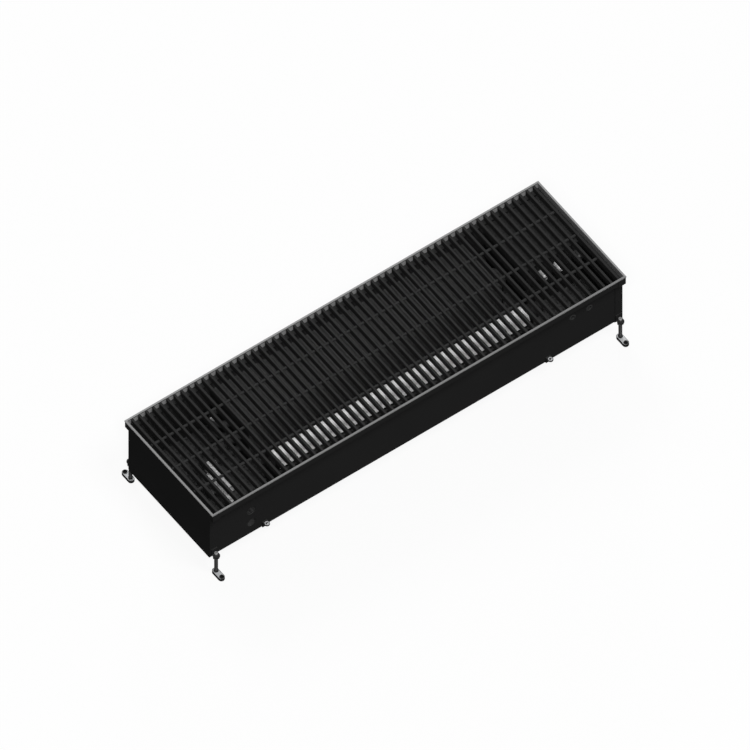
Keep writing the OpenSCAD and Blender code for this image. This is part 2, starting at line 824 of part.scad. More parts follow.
// Push-on clips that close the rods outside the end bars.
module grille_clips() {
    color("#3a3a3b") for (side = [0, 1], y = [-rod_spacing, 0, rod_spacing])
        mirror([side, 0, 0])
            round_x(grille_end + web_w / 2, grille_end + web_w / 2 + clip_t, y, rod_z, 3.5, rod_d / 2);
}

trough();
end_plate(1);  // end_plate_left
end_plate(0);  // end_plate_right
frame_member(0);  // frame_front
frame_member(1);  // frame_right
frame_member(2);  // frame_back
frame_member(3);  // frame_left
cushion_strip(0);  // cushion_front
cushion_strip(1);  // cushion_right
cushion_strip(2);  // cushion_back
cushion_strip(3);  // cushion_left
coil_fins();
coil_tubes();
coil_bends();
coil_end(0);  // coil_end_left
coil_end(1);  // coil_end_right
air_vent();
coil_tail(tube_z[1]);  // supply_pipe
coil_tail(tube_z[0]);  // return_pipe
union_nuts();
supply_valve();
return_valve();
supply_valve_cap();
fan_rotor();
fan_stub_shafts();
fan_bush();
fan_bracket_left();
fan_bracket_right();
fan_motor();
air_guide();
electrics_box();
electrics_lid();
lid_screws();
control_module();
cable_glands();
cable_rings();
foot_brackets();
foot_nuts();
edge_lugs();
lug_screws();
foot_rod(-1, -1);  // foot_rod_front_left
foot_rod(1, -1);  // foot_rod_front_right
foot_rod(-1, 1);  // foot_rod_back_left
foot_rod(1, 1);  // foot_rod_back_right
foot_collar(-1, -1);  // foot_collar_front_left
foot_collar(1, -1);  // foot_collar_front_right
foot_collar(-1, 1);  // foot_collar_back_left
foot_collar(1, 1);  // foot_collar_back_right
foot_plate(-1, -1);  // foot_plate_front_left
foot_plate(1, -1);  // foot_plate_front_right
foot_plate(-1, 1);  // foot_plate_back_left
foot_plate(1, 1);  // foot_plate_back_right
foot_pad(-1, -1);  // foot_pad_front_left
foot_pad(1, -1);  // foot_pad_front_right
foot_pad(-1, 1);  // foot_pad_back_left
foot_pad(1, 1);  // foot_pad_back_right
grille_bars();
grille_rods();
grille_sleeves();
grille_clips();
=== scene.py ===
# %% [markdown]
# # A floor trough heater, dressed piece by piece
#
# The real heater is a folded steel trough sunk in the floor. It has a roll grille of crosswise
# bars on top, a finned coil along the back and a cross-flow fan along the front. The packed
# model already has every part at its real size. This script gives each one its finish, adds the
# small things that the solids leave out, and sets up light and camera.

import bmesh
import bpy
import numpy as np
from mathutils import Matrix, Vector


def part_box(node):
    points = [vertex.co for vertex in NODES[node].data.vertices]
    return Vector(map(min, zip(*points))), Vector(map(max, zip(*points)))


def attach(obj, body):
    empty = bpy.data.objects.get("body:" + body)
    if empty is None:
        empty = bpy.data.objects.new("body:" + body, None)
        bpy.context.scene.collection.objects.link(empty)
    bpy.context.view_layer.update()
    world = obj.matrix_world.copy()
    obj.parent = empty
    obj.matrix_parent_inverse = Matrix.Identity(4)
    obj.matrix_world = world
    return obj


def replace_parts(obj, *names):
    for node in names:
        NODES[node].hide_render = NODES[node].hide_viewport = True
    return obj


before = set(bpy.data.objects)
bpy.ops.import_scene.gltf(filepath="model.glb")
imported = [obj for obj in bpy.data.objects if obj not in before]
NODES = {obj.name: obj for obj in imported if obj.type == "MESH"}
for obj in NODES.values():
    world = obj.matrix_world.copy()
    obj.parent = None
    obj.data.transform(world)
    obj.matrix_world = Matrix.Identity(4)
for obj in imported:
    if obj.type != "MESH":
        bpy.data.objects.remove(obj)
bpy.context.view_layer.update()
MM = 0.001          # millimetres to metres
WELD_GAP = 2e-6     # points closer than this, in metres, become one


def span(node):
    """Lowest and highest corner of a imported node, in millimetres."""
    low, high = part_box(node)
    return np.array(low) / MM, np.array(high) / MM


# %% [markdown]
# ## Surfaces as functions of two numbers
#
# Nuts, screws, threads and fins could be modelled by hand, but each is also a simple rule: a
# radius that depends on an angle and a height. Working the rule out for a whole grid of points
# at once is quick, exact and easy to change, so every new piece below is made that way.

# %% A grid of points becomes a mesh
def grid_faces(rows, cols, loop_rows=False, loop_cols=True):
    """Quads between neighbours in a rows by cols grid; a looped side joins its end to its start."""
    r, c = np.meshgrid(np.arange(rows - (not loop_rows)), np.arange(cols - (not loop_cols)),
                       indexing="ij")
    down, right = (r + 1) % rows, (c + 1) % cols
    quads = [r * cols + c, r * cols + right, down * cols + right, down * cols + c]
    return np.stack(quads, -1).reshape(-1, 4)


def repeated(surface, places):
    """Copies of one surface, each moved by one row of places: point + place, for all pairs."""
    points, quads = surface
    points = points.reshape(-1, 3)
    places = np.atleast_2d(np.asarray(places, float))
    many = (points[None] + places[:, None]).reshape(-1, 3)
    shift = (np.arange(len(places)) * len(points))[:, None, None]
    return many, (quads[None] + shift).reshape(-1, 4)


def piece(name, surfaces, body, finish, smooth_angle=40):
    """One mesh of closed surfaces, given in millimetres where they belong, riding a body."""
    points = [p.reshape(-1, 3) for p, _ in surfaces]
    starts = np.cumsum([0] + [len(p) for p in points[:-1]])
    quads = np.concatenate([q + s for (_, q), s in zip(surfaces, starts)]).astype(np.int32)
    mesh = bpy.data.meshes.new(name)
    mesh.vertices.add(sum(map(len, points)))
    mesh.vertices.foreach_set("co", (np.concatenate(points) * MM).astype(np.float32).ravel())
    mesh.loops.add(quads.size)
    mesh.loops.foreach_set("vertex_index", quads.ravel())
    mesh.polygons.add(len(quads))
    mesh.polygons.foreach_set("loop_start", np.arange(0, quads.size, 4, dtype=np.int32))
    mesh.update(calc_edges=True)
    joined = bmesh.new()
    joined.from_mesh(mesh)
    bmesh.ops.remove_doubles(joined, verts=joined.verts, dist=WELD_GAP)
    bmesh.ops.recalc_face_normals(joined, faces=joined.faces)
    joined.to_mesh(mesh)
    joined.free()
    mesh.polygons.foreach_set("use_smooth", np.ones(len(mesh.polygons), bool))
    mesh.set_sharp_from_angle(angle=np.radians(smooth_angle))
    made = bpy.data.objects.new(name, mesh)
    bpy.context.scene.collection.objects.link(made)
    mesh.materials.append(finish)
    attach(made, body)
    print(f"{name}: {len(mesh.polygons)} faces")
    return made


# %% [markdown]
# Most fasteners are turned: their surface runs round an axis. `spun` takes a table of radii and
# one of heights, one row for each station along the profile and one column for each direction,
# so that a hexagon or a thread is only a radius that changes with direction.

# %% Surfaces that run round an axis
STEPS = 36                  # columns once round
TURN = 2 * np.pi
X, Y, Z = np.eye(3)         # axes to turn round


def directions(steps=STEPS):
    """Angles of the grid's columns, once round."""
    return np.linspace(0, TURN, steps, endpoint=False)


def spun(radius, height, at=(0, 0, 0), axis=Z, loop=False):
    """Point (k, a) = at + axis * height + (cos a * side + sin a * other side) * radius."""
    radius, height = np.broadcast_arrays(np.asarray(radius, float), np.asarray(height, float))
    side = Y if abs(axis[0]) == 1 else X
    other = np.cross(axis, side)
    a = directions(radius.shape[1])
    ring = np.cos(a)[:, None] * side + np.sin(a)[:, None] * other
    points = np.asarray(at, float) + height[..., None] * axis + radius[..., None] * ring
    return points, grid_faces(*radius.shape, loop_rows=loop)


def turned(profile, at=(0, 0, 0), axis=Z, loop=False, steps=STEPS):
    """A plain turned part: profile is (radius, height) pairs, the same in every direction."""
    table = np.asarray(profile, float)[:, :, None] * np.ones(steps)
    return spun(table[:, 0], table[:, 1], at, axis, loop)


def hexagon(apothem, turn=0.0):
    """Radius of a hexagon in each direction: apothem / cos of the angle from the nearest flat."""
    a = directions() + turn
    return apothem / np.cos((a + np.pi / 6) % (np.pi / 3) - np.pi / 6)


def hex_nut(apothem, bore, height, at, axis=Z, turn=0.0):
    """Hexagon whose corners a cone cuts off: radius = the smaller of hexagon's and cone's."""
    corner, edge, face = apothem / np.cos(np.pi / 6), apothem * 0.08, apothem * 0.97
    lead = 0.5      # the bore's own chamfer
    limit = [bore, bore + lead, face, corner, corner, face, bore + lead, bore]
    level = [lead, 0, 0, edge, height - edge, height, height, height - lead]
    radius = np.minimum(np.array(limit)[:, None], hexagon(apothem, turn)[None])
    return spun(radius, np.array(level)[:, None] * np.ones(STEPS), at, axis, loop=True)


# A pan head from its foot to its socket, as (radius, height) in head radii. The foot is then sunk.
HEAD_OUTSIDE = np.array([(0, 0), (0.55, 0), (1, 0), (1, 0.18), (0.93, 0.42), (0.74, 0.60),
                         (0.52, 0.68)])
SOCKET = np.array([(1, 0.70), (0.96, 0.15), (0.3, 0.08), (0, 0.08)])        # radius in lobe radii
WASHER = np.array([(0.5, 0), (1.45, 0), (1.5, 0.5), (1.45, 1), (0.5, 1)])   # height in thicknesses
SUNK = 0.3          # the head's foot goes this far into what it holds, in millimetres


def screw(head_r, at, axis=Z, washer=0.0):
    """Pan-head screw with a socket whose radius = 0.40 + 0.055 * cos of six times the direction."""
    lobes = head_r * (0.40 + 0.055 * np.cos(6 * directions()))
    outside = head_r * HEAD_OUTSIDE[:, :1] * np.ones(STEPS)
    radius = np.concatenate([outside, SOCKET[:, :1] * lobes])
    level = head_r * np.concatenate([HEAD_OUTSIDE, SOCKET])[:, 1]
    level[:2] = -SUNK
    made = [spun(radius, level[:, None] * np.ones(STEPS) + washer, at, axis)]
    if washer:
        made.append(turned(WASHER * (head_r, washer), at, axis, loop=True))
    return made


print("a nut has", hex_nut(6.5, 4.1, 6.5, (0, 0, 0))[1].shape[0], "faces")

# %% [markdown]
# ## Effects that several finishes share
#
# Powder coat, drawn metal, dust with painted fill light and moulded plastic each show on more
# than one material. Each is built once as a node group with named inputs, and gives out only
# colours, values and heights.
# The shader itself stays in the material, where its constants can be read.

# %% Small helpers for node trees
def add(tree, kind, links=None, **settings):
    """A new node with its settings; links is {input: socket or value}."""
    new = tree.nodes.new(kind)
    for key, value in settings.items():
        setattr(new, key, value)
    for key, value in (links or {}).items():
        socket = new.inputs[key]
        if isinstance(value, bpy.types.NodeSocket):
            tree.links.new(value, socket)
        else:
            socket.default_value = value
    return new


def math(tree, operation, *values, clamp=False):
    """One arithmetic node; returns its output."""
    links = dict(enumerate(values))
    return add(tree, "ShaderNodeMath", links, operation=operation, use_clamp=clamp).outputs[0]


def blend_colour(tree, factor, first, second, mode="MIX"):
    """Colour mix; returns its output."""
    links = {0: factor, 6: first, 7: second}
    return add(tree, "ShaderNodeMix", links, data_type="RGBA", blend_type=mode).outputs[2]


def times_tone(tree, colour, tone):
    """A colour with each channel multiplied by one number."""
    triple = add(tree, "ShaderNodeCombineColor", {0: tone, 1: tone, 2: tone}).outputs[0]
    return blend_colour(tree, 1.0, colour, triple, "MULTIPLY")


def ramp(tree, factor, low, high):
    """Maps a value from low..high to 0..1, held at its ends."""
    return add(tree, "ShaderNodeMapRange", {0: factor, 1: low, 2: high}).outputs[0]


def noise(tree, where, scale, detail=2.0, roughness=0.5):
    """Soft noise at a place; returns its value from 0 to 1."""
    links = {"Vector": where, "Scale": scale, "Detail": detail, "Roughness": roughness}
    return add(tree, "ShaderNodeTexNoise", links).outputs[0]


def effect(name, inputs, outputs):
    """An empty node group with named sockets; returns it, its input values and its output node."""
    group = bpy.data.node_groups.new(name, "ShaderNodeTree")
    for label, kind, value in inputs:
        socket = group.interface.new_socket(label, in_out="INPUT", socket_type="NodeSocket" + kind)
        socket.default_value = value
    for label, kind in outputs:
        group.interface.new_socket(label, in_out="OUTPUT", socket_type="NodeSocket" + kind)
    return group, add(group, "NodeGroupInput").outputs, add(group, "NodeGroupOutput")


def give(group_output, **values):
    """Links each value to the group output of that name."""
    for label, socket in values.items():
        group_output.id_data.links.new(socket, group_output.inputs[label])


def object_place(tree):
    """Object coordinates, in metres: on a packed or added piece, its place in the heater."""
    return add(tree, "ShaderNodeTexCoord").outputs["Object"]


# %% Powder coat: fine orange peel and a faint cloudiness
LOOK = [("Colour", "Color"), ("Roughness", "Float"), ("Height", "Float")]
peel, peel_in, peel_out = effect(
    "powder_peel",
    [("Colour", "Color", (0.02, 0.02, 0.02, 1)), ("Clouds", "Float", 0.15),
     ("Peel Size", "Float", 900.0)], LOOK)
clouds = noise(peel, object_place(peel), scale=9.0, detail=3.0)
fine = noise(peel, object_place(peel), scale=peel_in["Peel Size"], detail=1.0)
shade = math(peel, "MULTIPLY_ADD", math(peel, "SUBTRACT", clouds, 0.5), peel_in["Clouds"], 1.0)
give(peel_out, Colour=times_tone(peel, peel_in["Colour"], shade),
     Roughness=math(peel, "MULTIPLY_ADD", fine, 0.12, 0.58), Height=fine)

# %% Drawn or brushed metal: long fine lines
drawn, drawn_in, drawn_out = effect(
    "drawn_lines",
    [("Colour", "Color", (0.6, 0.6, 0.6, 1)), ("Stretch", "Vector", (1, 1, 1)),
     ("Contrast", "Float", 0.2), ("Roughness", "Float", 0.35)], LOOK)
stretched = add(drawn, "ShaderNodeMapping", {"Vector": object_place(drawn),
                                             "Scale": drawn_in["Stretch"]}).outputs[0]
strands = noise(drawn, stretched, scale=1.0, detail=3.0, roughness=0.6)
lines = math(drawn, "SUBTRACT", strands, 0.5)
blotch = math(drawn, "SUBTRACT", noise(drawn, object_place(drawn), scale=30.0), 0.5)
tone = math(drawn, "ADD", lines, math(drawn, "MULTIPLY", blotch, 0.5))
tone = math(drawn, "MULTIPLY_ADD", tone, drawn_in["Contrast"], 1.0)
give(drawn_out, Colour=times_tone(drawn, drawn_in["Colour"], tone),
     Roughness=math(drawn, "MULTIPLY_ADD", lines, 0.22, drawn_in["Roughness"]), Height=strands)

# %% Moulded plastic and rubber: a fine spark-eroded grain
moulded, moulded_in, moulded_out = effect(
    "moulded_grain",
    [("Colour", "Color", (0.02, 0.02, 0.02, 1)), ("Grain Size", "Float", 1500.0),
     ("Roughness", "Float", 0.6)], LOOK)
cells = add(moulded, "ShaderNodeTexVoronoi", {"Vector": object_place(moulded),
                                              "Scale": moulded_in["Grain Size"]}).outputs[0]
bloom = noise(moulded, object_place(moulded), scale=60.0, detail=3.0)
BLOOM_GREY = (0.09, 0.09, 0.09, 1)
give(moulded_out,
     Colour=blend_colour(moulded, math(moulded, "MULTIPLY", bloom, 0.22), moulded_in["Colour"],
                         BLOOM_GREY),
     Roughness=math(moulded, "MULTIPLY_ADD", bloom, 0.15, moulded_in["Roughness"]), Height=cells)

# %% Tarnish: clean metal that darkens in patches
tarnish, tarnish_in, tarnish_out = effect(
    "tarnish",
    [("Clean", "Color", (0.8, 0.45, 0.3, 1)), ("Dull", "Color", (0.25, 0.12, 0.07, 1)),
     ("Amount", "Float", 0.5), ("Roughness", "Float", 0.3)], LOOK)
patches = noise(tarnish, object_place(tarnish), scale=70.0, detail=5.0, roughness=0.65)
patches = ramp(tarnish, patches, 0.3, 0.75)
spread = math(tarnish, "MULTIPLY", patches, tarnish_in["Amount"], clamp=True)
give(tarnish_out, Colour=blend_colour(tarnish, spread, tarnish_in["Clean"], tarnish_in["Dull"]),
     Roughness=math(tarnish, "MULTIPLY_ADD", spread, 0.35, tarnish_in["Roughness"]),
     Height=noise(tarnish, object_place(tarnish), scale=900.0))

# %% Dust and painted fill light: a pale film where a surface looks up, made much thicker low in the trough, where it is painted light for the shade under the grille
TROUGH_HALF = 0.1365                    # half the trough's inner width, in metres
FILL_FROM, FILL_TO = 0.16, 0.07         # heights between which the painted fill light grows
FILL_ON_FLOORS, FILL_ON_WALLS = 3.0, 0.25         # what the painted fill light adds on each
dust, dust_fill_in, dust_fill_out = effect("dust_and_painted_fill", [("Amount", "Float", 0.1)], [("Mask", "Float")])
facing = add(dust, "ShaderNodeNewGeometry").outputs["Normal"]
lying = ramp(dust, add(dust, "ShaderNodeSeparateXYZ", {0: facing}).outputs[2], 0.4, 1.0)
grains = noise(dust, object_place(dust), scale=120.0, detail=6.0, roughness=0.7)
film = ramp(dust, grains, 0.35, 0.75)
_, across, height = add(dust, "ShaderNodeSeparateXYZ", {0: object_place(dust)}).outputs
inside = math(dust, "LESS_THAN", math(dust, "ABSOLUTE", across), TROUGH_HALF)
# Painted fill light: low in the trough, the film grows thicker on floors and walls
painted_fill_depth = math(dust, "MULTIPLY", ramp(dust, height, FILL_FROM, FILL_TO), inside)
lying = math(dust, "MULTIPLY", lying, math(dust, "MULTIPLY_ADD", painted_fill_depth, FILL_ON_FLOORS, 1.0))
dust_and_fill_cover = math(dust, "MULTIPLY_ADD", painted_fill_depth, FILL_ON_WALLS, lying)
give(dust_fill_out, Mask=math(dust, "MULTIPLY", math(dust, "MULTIPLY", dust_and_fill_cover, film), dust_fill_in["Amount"],
                         clamp=True))
print("effects:", ", ".join(g.name for g in bpy.data.node_groups))

# %% [markdown]
# ## Finishes
#
# A finish is one Principled shader fed by one of the effects. The colour goes through the effect
# so that it varies over the surface. Metal or not, the sheen and the index of refraction are
# constants and are set on the shader itself.

# %% A material from an effect
# The film's pale grey, which also carries the painted fill light inside the trough
DUST_AND_FILL_GREY = (0.30, 0.30, 0.30, 1)


def finish(name, group, inputs, metallic=0.0, specular=0.5, bump=0.1, depth=0.0001, dusty=0.0):
    """Principled material whose colour, roughness and height come from a shared effect."""
    made = bpy.data.materials.new(name)
    made.use_nodes = True
    tree = made.node_tree
    shader = tree.nodes["Principled BSDF"]
    source = add(tree, "ShaderNodeGroup", node_tree=group)
    for key, value in inputs.items():
        source.inputs[key].default_value = value
    colour, rough = source.outputs["Colour"], source.outputs["Roughness"]
    # The dust mask, which holds painted fill light inside the trough, lightens the colour
    if dusty:
        film = add(tree, "ShaderNodeGroup", node_tree=dust)
        film.inputs["Amount"].default_value = dusty
        mask = film.outputs["Mask"]
        colour = blend_colour(tree, mask, colour, DUST_AND_FILL_GREY)
        rough = math(tree, "ADD", rough, math(tree, "MULTIPLY", mask, 0.5))
    tree.links.new(colour, shader.inputs["Base Color"])
    tree.links.new(rough, shader.inputs["Roughness"])
    relief = add(tree, "ShaderNodeBump", {"Strength": bump, "Distance": depth,
                                          "Height": source.outputs["Height"]})
    tree.links.new(relief.outputs[0], shader.inputs["Normal"])
    shader.inputs["Metallic"].default_value = metallic
    shader.inputs["Specular IOR Level"].default_value = specular
    return made


def grey(value, warm=0.0):
    """A grey, a little warm or cool."""
    return (value * (1 + warm), value, value * (1 - warm), 1)


# %% One short call for each kind of finish
ALONG_X, ALONG_Y = (12, 2600, 2600), (2600, 12, 2600)   # drawing lines run along this axis


def coated(name, colour, clouds, size=900.0, **shader):
    """Powder coat; size is how fine its peel is."""
    inputs = {"Colour": grey(colour), "Clouds": clouds, "Peel Size": size}
    return finish(name, peel, inputs, **shader)


def lined(name, colour, along, contrast, rough, **shader):
    """Drawn metal, or a drawn bar with a thin coat."""
    inputs = {"Colour": grey(colour), "Stretch": along, "Contrast": contrast, "Roughness": rough}
    return finish(name, drawn, inputs, **shader)


def grained(name, colour, rough, size=1500.0, **shader):
    """Moulded plastic or rubber; size is how fine its grain is."""
    inputs = {"Colour": colour, "Grain Size": size, "Roughness": rough}
    return finish(name, moulded, inputs, **shader)


def plated(name, clean, dull, amount, rough, **shader):
    """Plated metal that has dulled in patches."""
    inputs = {"Clean": clean, "Dull": dull, "Amount": amount, "Roughness": rough}
    return finish(name, tarnish, inputs, **shader)


# %% The heater's finishes
# The dust amounts below also bring painted fill light into the trough
black_coat = coated("black_coat", 0.0235, 0.18, specular=0.0, bump=0.25, depth=0.00006, dusty=0.06)
# The coil's coat is a dark grey, lighter than its real black: painted fill light for the shade
# under the grille
coil_coat_painted_fill = coated("coil_coat_painted_fill", 0.112, 0.3, 500.0, specular=0.05, bump=0.2, dusty=0.08)
pipe_coat = coated("pipe_coat", 0.030, 0.3, 700.0, specular=0.15, bump=0.2)
motor_black = coated("motor_black", 0.014, 0.3, 600.0, specular=0.15, bump=0.3)

rim_sheen = {"metallic": 0.4, "specular": 0.1, "bump": 0.05}
frame_long = lined("frame_long", 0.22, ALONG_X, 0.15, 0.42, **rim_sheen)
frame_short = lined("frame_short", 0.22, ALONG_Y, 0.15, 0.42, **rim_sheen)
bar_black = lined("bar_black", 0.0208, ALONG_Y, 0.5, 0.55, specular=0.02, bump=0.05, dusty=0.02)
rod_dark = lined("rod_dark", 0.022, ALONG_X, 0.3, 0.5, specular=0.05, bump=0.05)
rotor_metal = lined("rotor_metal", 0.90, ALONG_X, 0.08, 0.45, metallic=0.1, specular=0.4, bump=0.04)
steel = lined("steel", 0.55, ALONG_X, 0.2, 0.3, metallic=1.0, bump=0.04)

sleeve_dark = grained("sleeve_dark", grey(0.019), 0.5, specular=0.05)
rubber_black = grained("rubber_black", grey(0.012), 0.75, 1200.0, specular=0.2, bump=0.2)
shoe_rubber = grained("shoe_rubber", grey(0.006), 0.85, 1000.0, specular=0.1, bump=0.2)
cap_plastic = grained("cap_plastic", grey(0.52), 0.5, 1800.0, specular=0.4, bump=0.15)
module_plastic = grained("module_plastic", (0.04, 0.043, 0.048, 1), 0.55, specular=0.4, bump=0.15)

nickel = plated("nickel", grey(0.62), grey(0.48), 0.4, 0.36, metallic=0.15, specular=0.3, bump=0.03)
gland_metal = plated("gland_metal", grey(0.50), grey(0.36), 0.4, 0.36,
                     metallic=0.2, specular=0.3, bump=0.03)
# The return valve's finish is much lighter than the supply's nickel: painted fill light for the
# shade the supply valve casts on it
lockshield_painted_fill = plated("lockshield_painted_fill", grey(0.95), grey(0.80), 0.4, 0.36,
                    metallic=0.1, specular=0.3, bump=0.03)
# The slotted tip is a lighter grey than the rod below it: painted highlight on the rod's top end
rod_tip = plated("rod_tip", grey(0.33), grey(0.22), 0.5, 0.4,
                 metallic=0.25, specular=0.2, bump=0.05)
zinc = plated("zinc", grey(0.56, -0.02), grey(0.42), 0.5, 0.42,
              metallic=0.25, specular=0.2, bump=0.06)
fixing_dark = plated("fixing_dark", grey(0.035), grey(0.018), 0.6, 0.45,
                     metallic=0.3, specular=0.15, bump=0.06)
print(len(bpy.data.materials), "materials, the packed ones included")

# %% Parts of a piece that are darker or brighter than the rest
IN_X, IN_Y, IN_Z = 0, 1, 2
FAR = 1.0           # metres, beyond any end of the heater
BOSS_COVER, CAP_GRIP = -0.4205, -0.4355         # where they begin, towards the left end
MIDDLE_GLAND, SPARE_GLAND = (0.430, 0.456), (0.470, 0.600)
FOOT_TOP, LEG_TOP = 0.1835, 0.1965              # heights of the rim profile's parts


def band(material, axis, low, high, times):
    """Colour = the finish's own, times a factor where the coordinate lies between low and high."""
    tree = material.node_tree
    shader = tree.nodes["Principled BSDF"]
    own = shader.inputs["Base Color"].links[0].from_socket
    place = add(tree, "ShaderNodeSeparateXYZ", {0: object_place(tree)}).outputs[axis]
    within = math(tree, "MULTIPLY", math(tree, "GREATER_THAN", place, low),
                  math(tree, "LESS_THAN", place, high))
    mixed = blend_colour(tree, within, own, grey(times), "MULTIPLY")
    tree.links.new(mixed, shader.inputs["Base Color"])


band(lockshield_painted_fill, IN_X, -FAR, BOSS_COVER, 0.04)      # the dark cover on the return valve's boss
band(cap_plastic, IN_X, -FAR, CAP_GRIP, 0.05)       # the cap's dark grip beyond its light collar
band(gland_metal, IN_X, *MIDDLE_GLAND, 1.45)        # a newer gland than the left one
band(gland_metal, IN_X, *SPARE_GLAND, 0.10)         # a gland of black plastic
for rim, leg_painted_light in ((frame_long, 2.3), (frame_short, 1.1)):
    band(rim, IN_Z, FOOT_TOP, LEG_TOP, leg_painted_light)         # the upright part, made lighter: painted light on it under the grille
    band(rim, IN_Z, 0.0, FOOT_TOP, 0.25)            # the foot, made darker: painted shade under the grille
band(frame_long, IN_Y, -FAR, 0.0, 0.73)             # the front profile, made darker: painted shade
band(frame_short, IN_X, -FAR, 0.0, 0.86)            # the left profile, made a little darker: painted shade
for material in (lockshield_painted_fill, cap_plastic, gland_metal, frame_long, frame_short):
    steps = [node for node in material.node_tree.nodes if node.type == "SEPXYZ"]
    print(material.name, "has", len(steps), "bands")

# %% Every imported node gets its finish
CORNERS = {"front_left": (-1, -1), "front_right": (1, -1),
           "back_left": (-1, 1), "back_right": (1, 1)}
DRESS = {
    black_coat: ["trough", "end_plate_left", "end_plate_right", "fan_bracket_left",
                 "fan_bracket_right", "air_guide", "electrics_box", "electrics_lid",
                 "coil_end_left", "coil_end_right", "foot_brackets", "edge_lugs"],
    frame_long: ["frame_front", "frame_back"],
    frame_short: ["frame_left", "frame_right"],
    rubber_black: ["cushion_front", "cushion_back", "cushion_left", "cushion_right", "cable_rings",
                   "fan_bush"],
    coil_coat_painted_fill: ["coil_fins"],
    pipe_coat: ["supply_pipe", "return_pipe", "coil_tubes", "coil_bends"],
    nickel: ["union_nuts", "supply_valve", "air_vent"],
    gland_metal: ["cable_glands"],
    lockshield_painted_fill: ["return_valve"],
    cap_plastic: ["supply_valve_cap"],
    rotor_metal: ["fan_rotor"],
    steel: ["fan_stub_shafts"],
    motor_black: ["fan_motor"],
    module_plastic: ["control_module"],
    zinc: [f"foot_plate_{corner}" for corner in CORNERS],
    fixing_dark: ["foot_nuts", "lug_screws", "lid_screws",
                  *(f"foot_rod_{corner}" for corner in CORNERS),
                  *(f"foot_collar_{corner}" for corner in CORNERS)],
    shoe_rubber: [f"foot_pad_{corner}" for corner in CORNERS],
    bar_black: ["grille_bars"],
    rod_dark: ["grille_rods", "grille_clips"],
    sleeve_dark: ["grille_sleeves"],
}
for material, names in DRESS.items():
    for name in names:
        slots = NODES[name].data.materials
        slots.clear()
        slots.append(material)
print(sum(map(len, DRESS.values())), "of", len(NODES), "nodes dressed")

# %% [markdown]
# ## Fins between the fins
#
# The real block has a thin fin every 2 mm. The solid model carries every third one, because
# three hundred solids would only slow it down. Here two thin leaves go into each gap. Each leaf is
# a strip whose faces ripple from front to back, as pressed fins do, to stir the air.

# %% Rippled fin leaves
fins_low, fins_high = span("coil_fins")
FIN_PITCH, LEAF = 6.0, 0.22
SHY_X, SHY_Y, SHY_Z = 0.3, 0.3, 0.2     # how far the leaves stay inside the block's faces


def fin_leaf(stations=27, ripple=0.32, ripples=4.5):
    """A thin strip along Y: x = ripple * sin of the way along, plus or minus half the thickness."""
    y = np.linspace(fins_low[1] + SHY_Y, fins_high[1] - SHY_Y, stations)
    wave = ripple * np.sin(np.linspace(0, ripples * TURN, stations))
    z_low, z_high = fins_low[2] + SHY_Z, fins_high[2] - SHY_Z
    corner_x = np.array([-LEAF, LEAF, LEAF, -LEAF]) / 2
    corner_z = np.array([z_low, z_low, z_high, z_high])
    ring = np.stack(np.broadcast_arrays(wave[:, None] + corner_x, y[:, None], corner_z), -1)
    middle = ring.mean(1, keepdims=True)
    closed = np.concatenate([np.repeat(middle[:1], 4, 1), ring, np.repeat(middle[-1:], 4, 1)])
    return closed, grid_faces(len(closed), 4)


first = fins_low[0] + SHY_X
count = int(round((fins_high[0] - SHY_X - first) / FIN_PITCH))
thirds = FIN_PITCH / 3 * np.array([1, 2])
leaf_x = (first + np.arange(count)[:, None] * FIN_PITCH + thirds).ravel()
places = leaf_x[:, None] * X
piece("fin_leaves", [repeated(fin_leaf(), places)], "casing", coil_coat_painted_fill, 20)

# %% [markdown]
# ## Cross-flow rotor
#
# Thirty thin blades run the rotor's whole length and support rings hold them. The photograph shows
# the drum brightest towards the back. Blades that lean to the front do that, because they turn
# their hollow side away and their rounded side up. So this rotor's blades lean that way, as on a
# fan that turns the other way round, and the light then runs over them as in the photograph.

# %% Blades and rings
rotor_low, rotor_high = span("fan_rotor")
ROTOR_R, ROTOR_SECTIONS, RING = 20.0, 7, 1.2
BORE, BLADE_ROOT, BLADE_CURL = np.array([0.62, 0.77, 0.20]) * ROTOR_R
BLADE_ARC = np.radians(85)
LONGER = 4.5            # the photograph shows the drum this much nearer to its left bracket
rotor_axis = (rotor_low + rotor_high) / 2 * (0, 1, 1)
rotor_low[0] -= LONGER


def rotor_blades(x0, x1, count=30, bends=9, blade=0.5):
    """Out by root + curl * sin s and sideways by curl * (1 - cos s), for s from 0 to the arc."""
    s = np.linspace(0, BLADE_ARC, bends)
    s = np.concatenate([s, s[::-1]])
    skin = BLADE_CURL + np.repeat([blade / 2, -blade / 2], bends)
    middle = np.full_like(skin, BLADE_CURL)
    ends = np.stack([middle, skin, skin, middle])
    out, aside = BLADE_ROOT + ends * np.sin(s), ends * np.cos(s) - BLADE_CURL
    a = directions(count)[:, None, None]
    y = rotor_axis[1] + out * np.cos(a) - aside * np.sin(a)
    z = rotor_axis[2] + out * np.sin(a) + aside * np.cos(a)
    x = np.array([x0, x0, x1, x1])[None, :, None] + 0 * y
    quads = grid_faces(4, 2 * bends)
    starts = np.arange(count)[:, None, None] * 8 * bends
    return np.stack([x, y, z], -1), (quads[None] + starts).reshape(-1, 4)


def rotor_ring(x, bore):
    """A flat ring round X: radius bore, R, R, bore at height x, x, x + thickness, x + thickness."""
    profile = [(bore, x), (ROTOR_R, x), (ROTOR_R, x + RING), (bore, x + RING)]
    return turned(profile, rotor_axis, X, loop=bore > 0, steps=60)


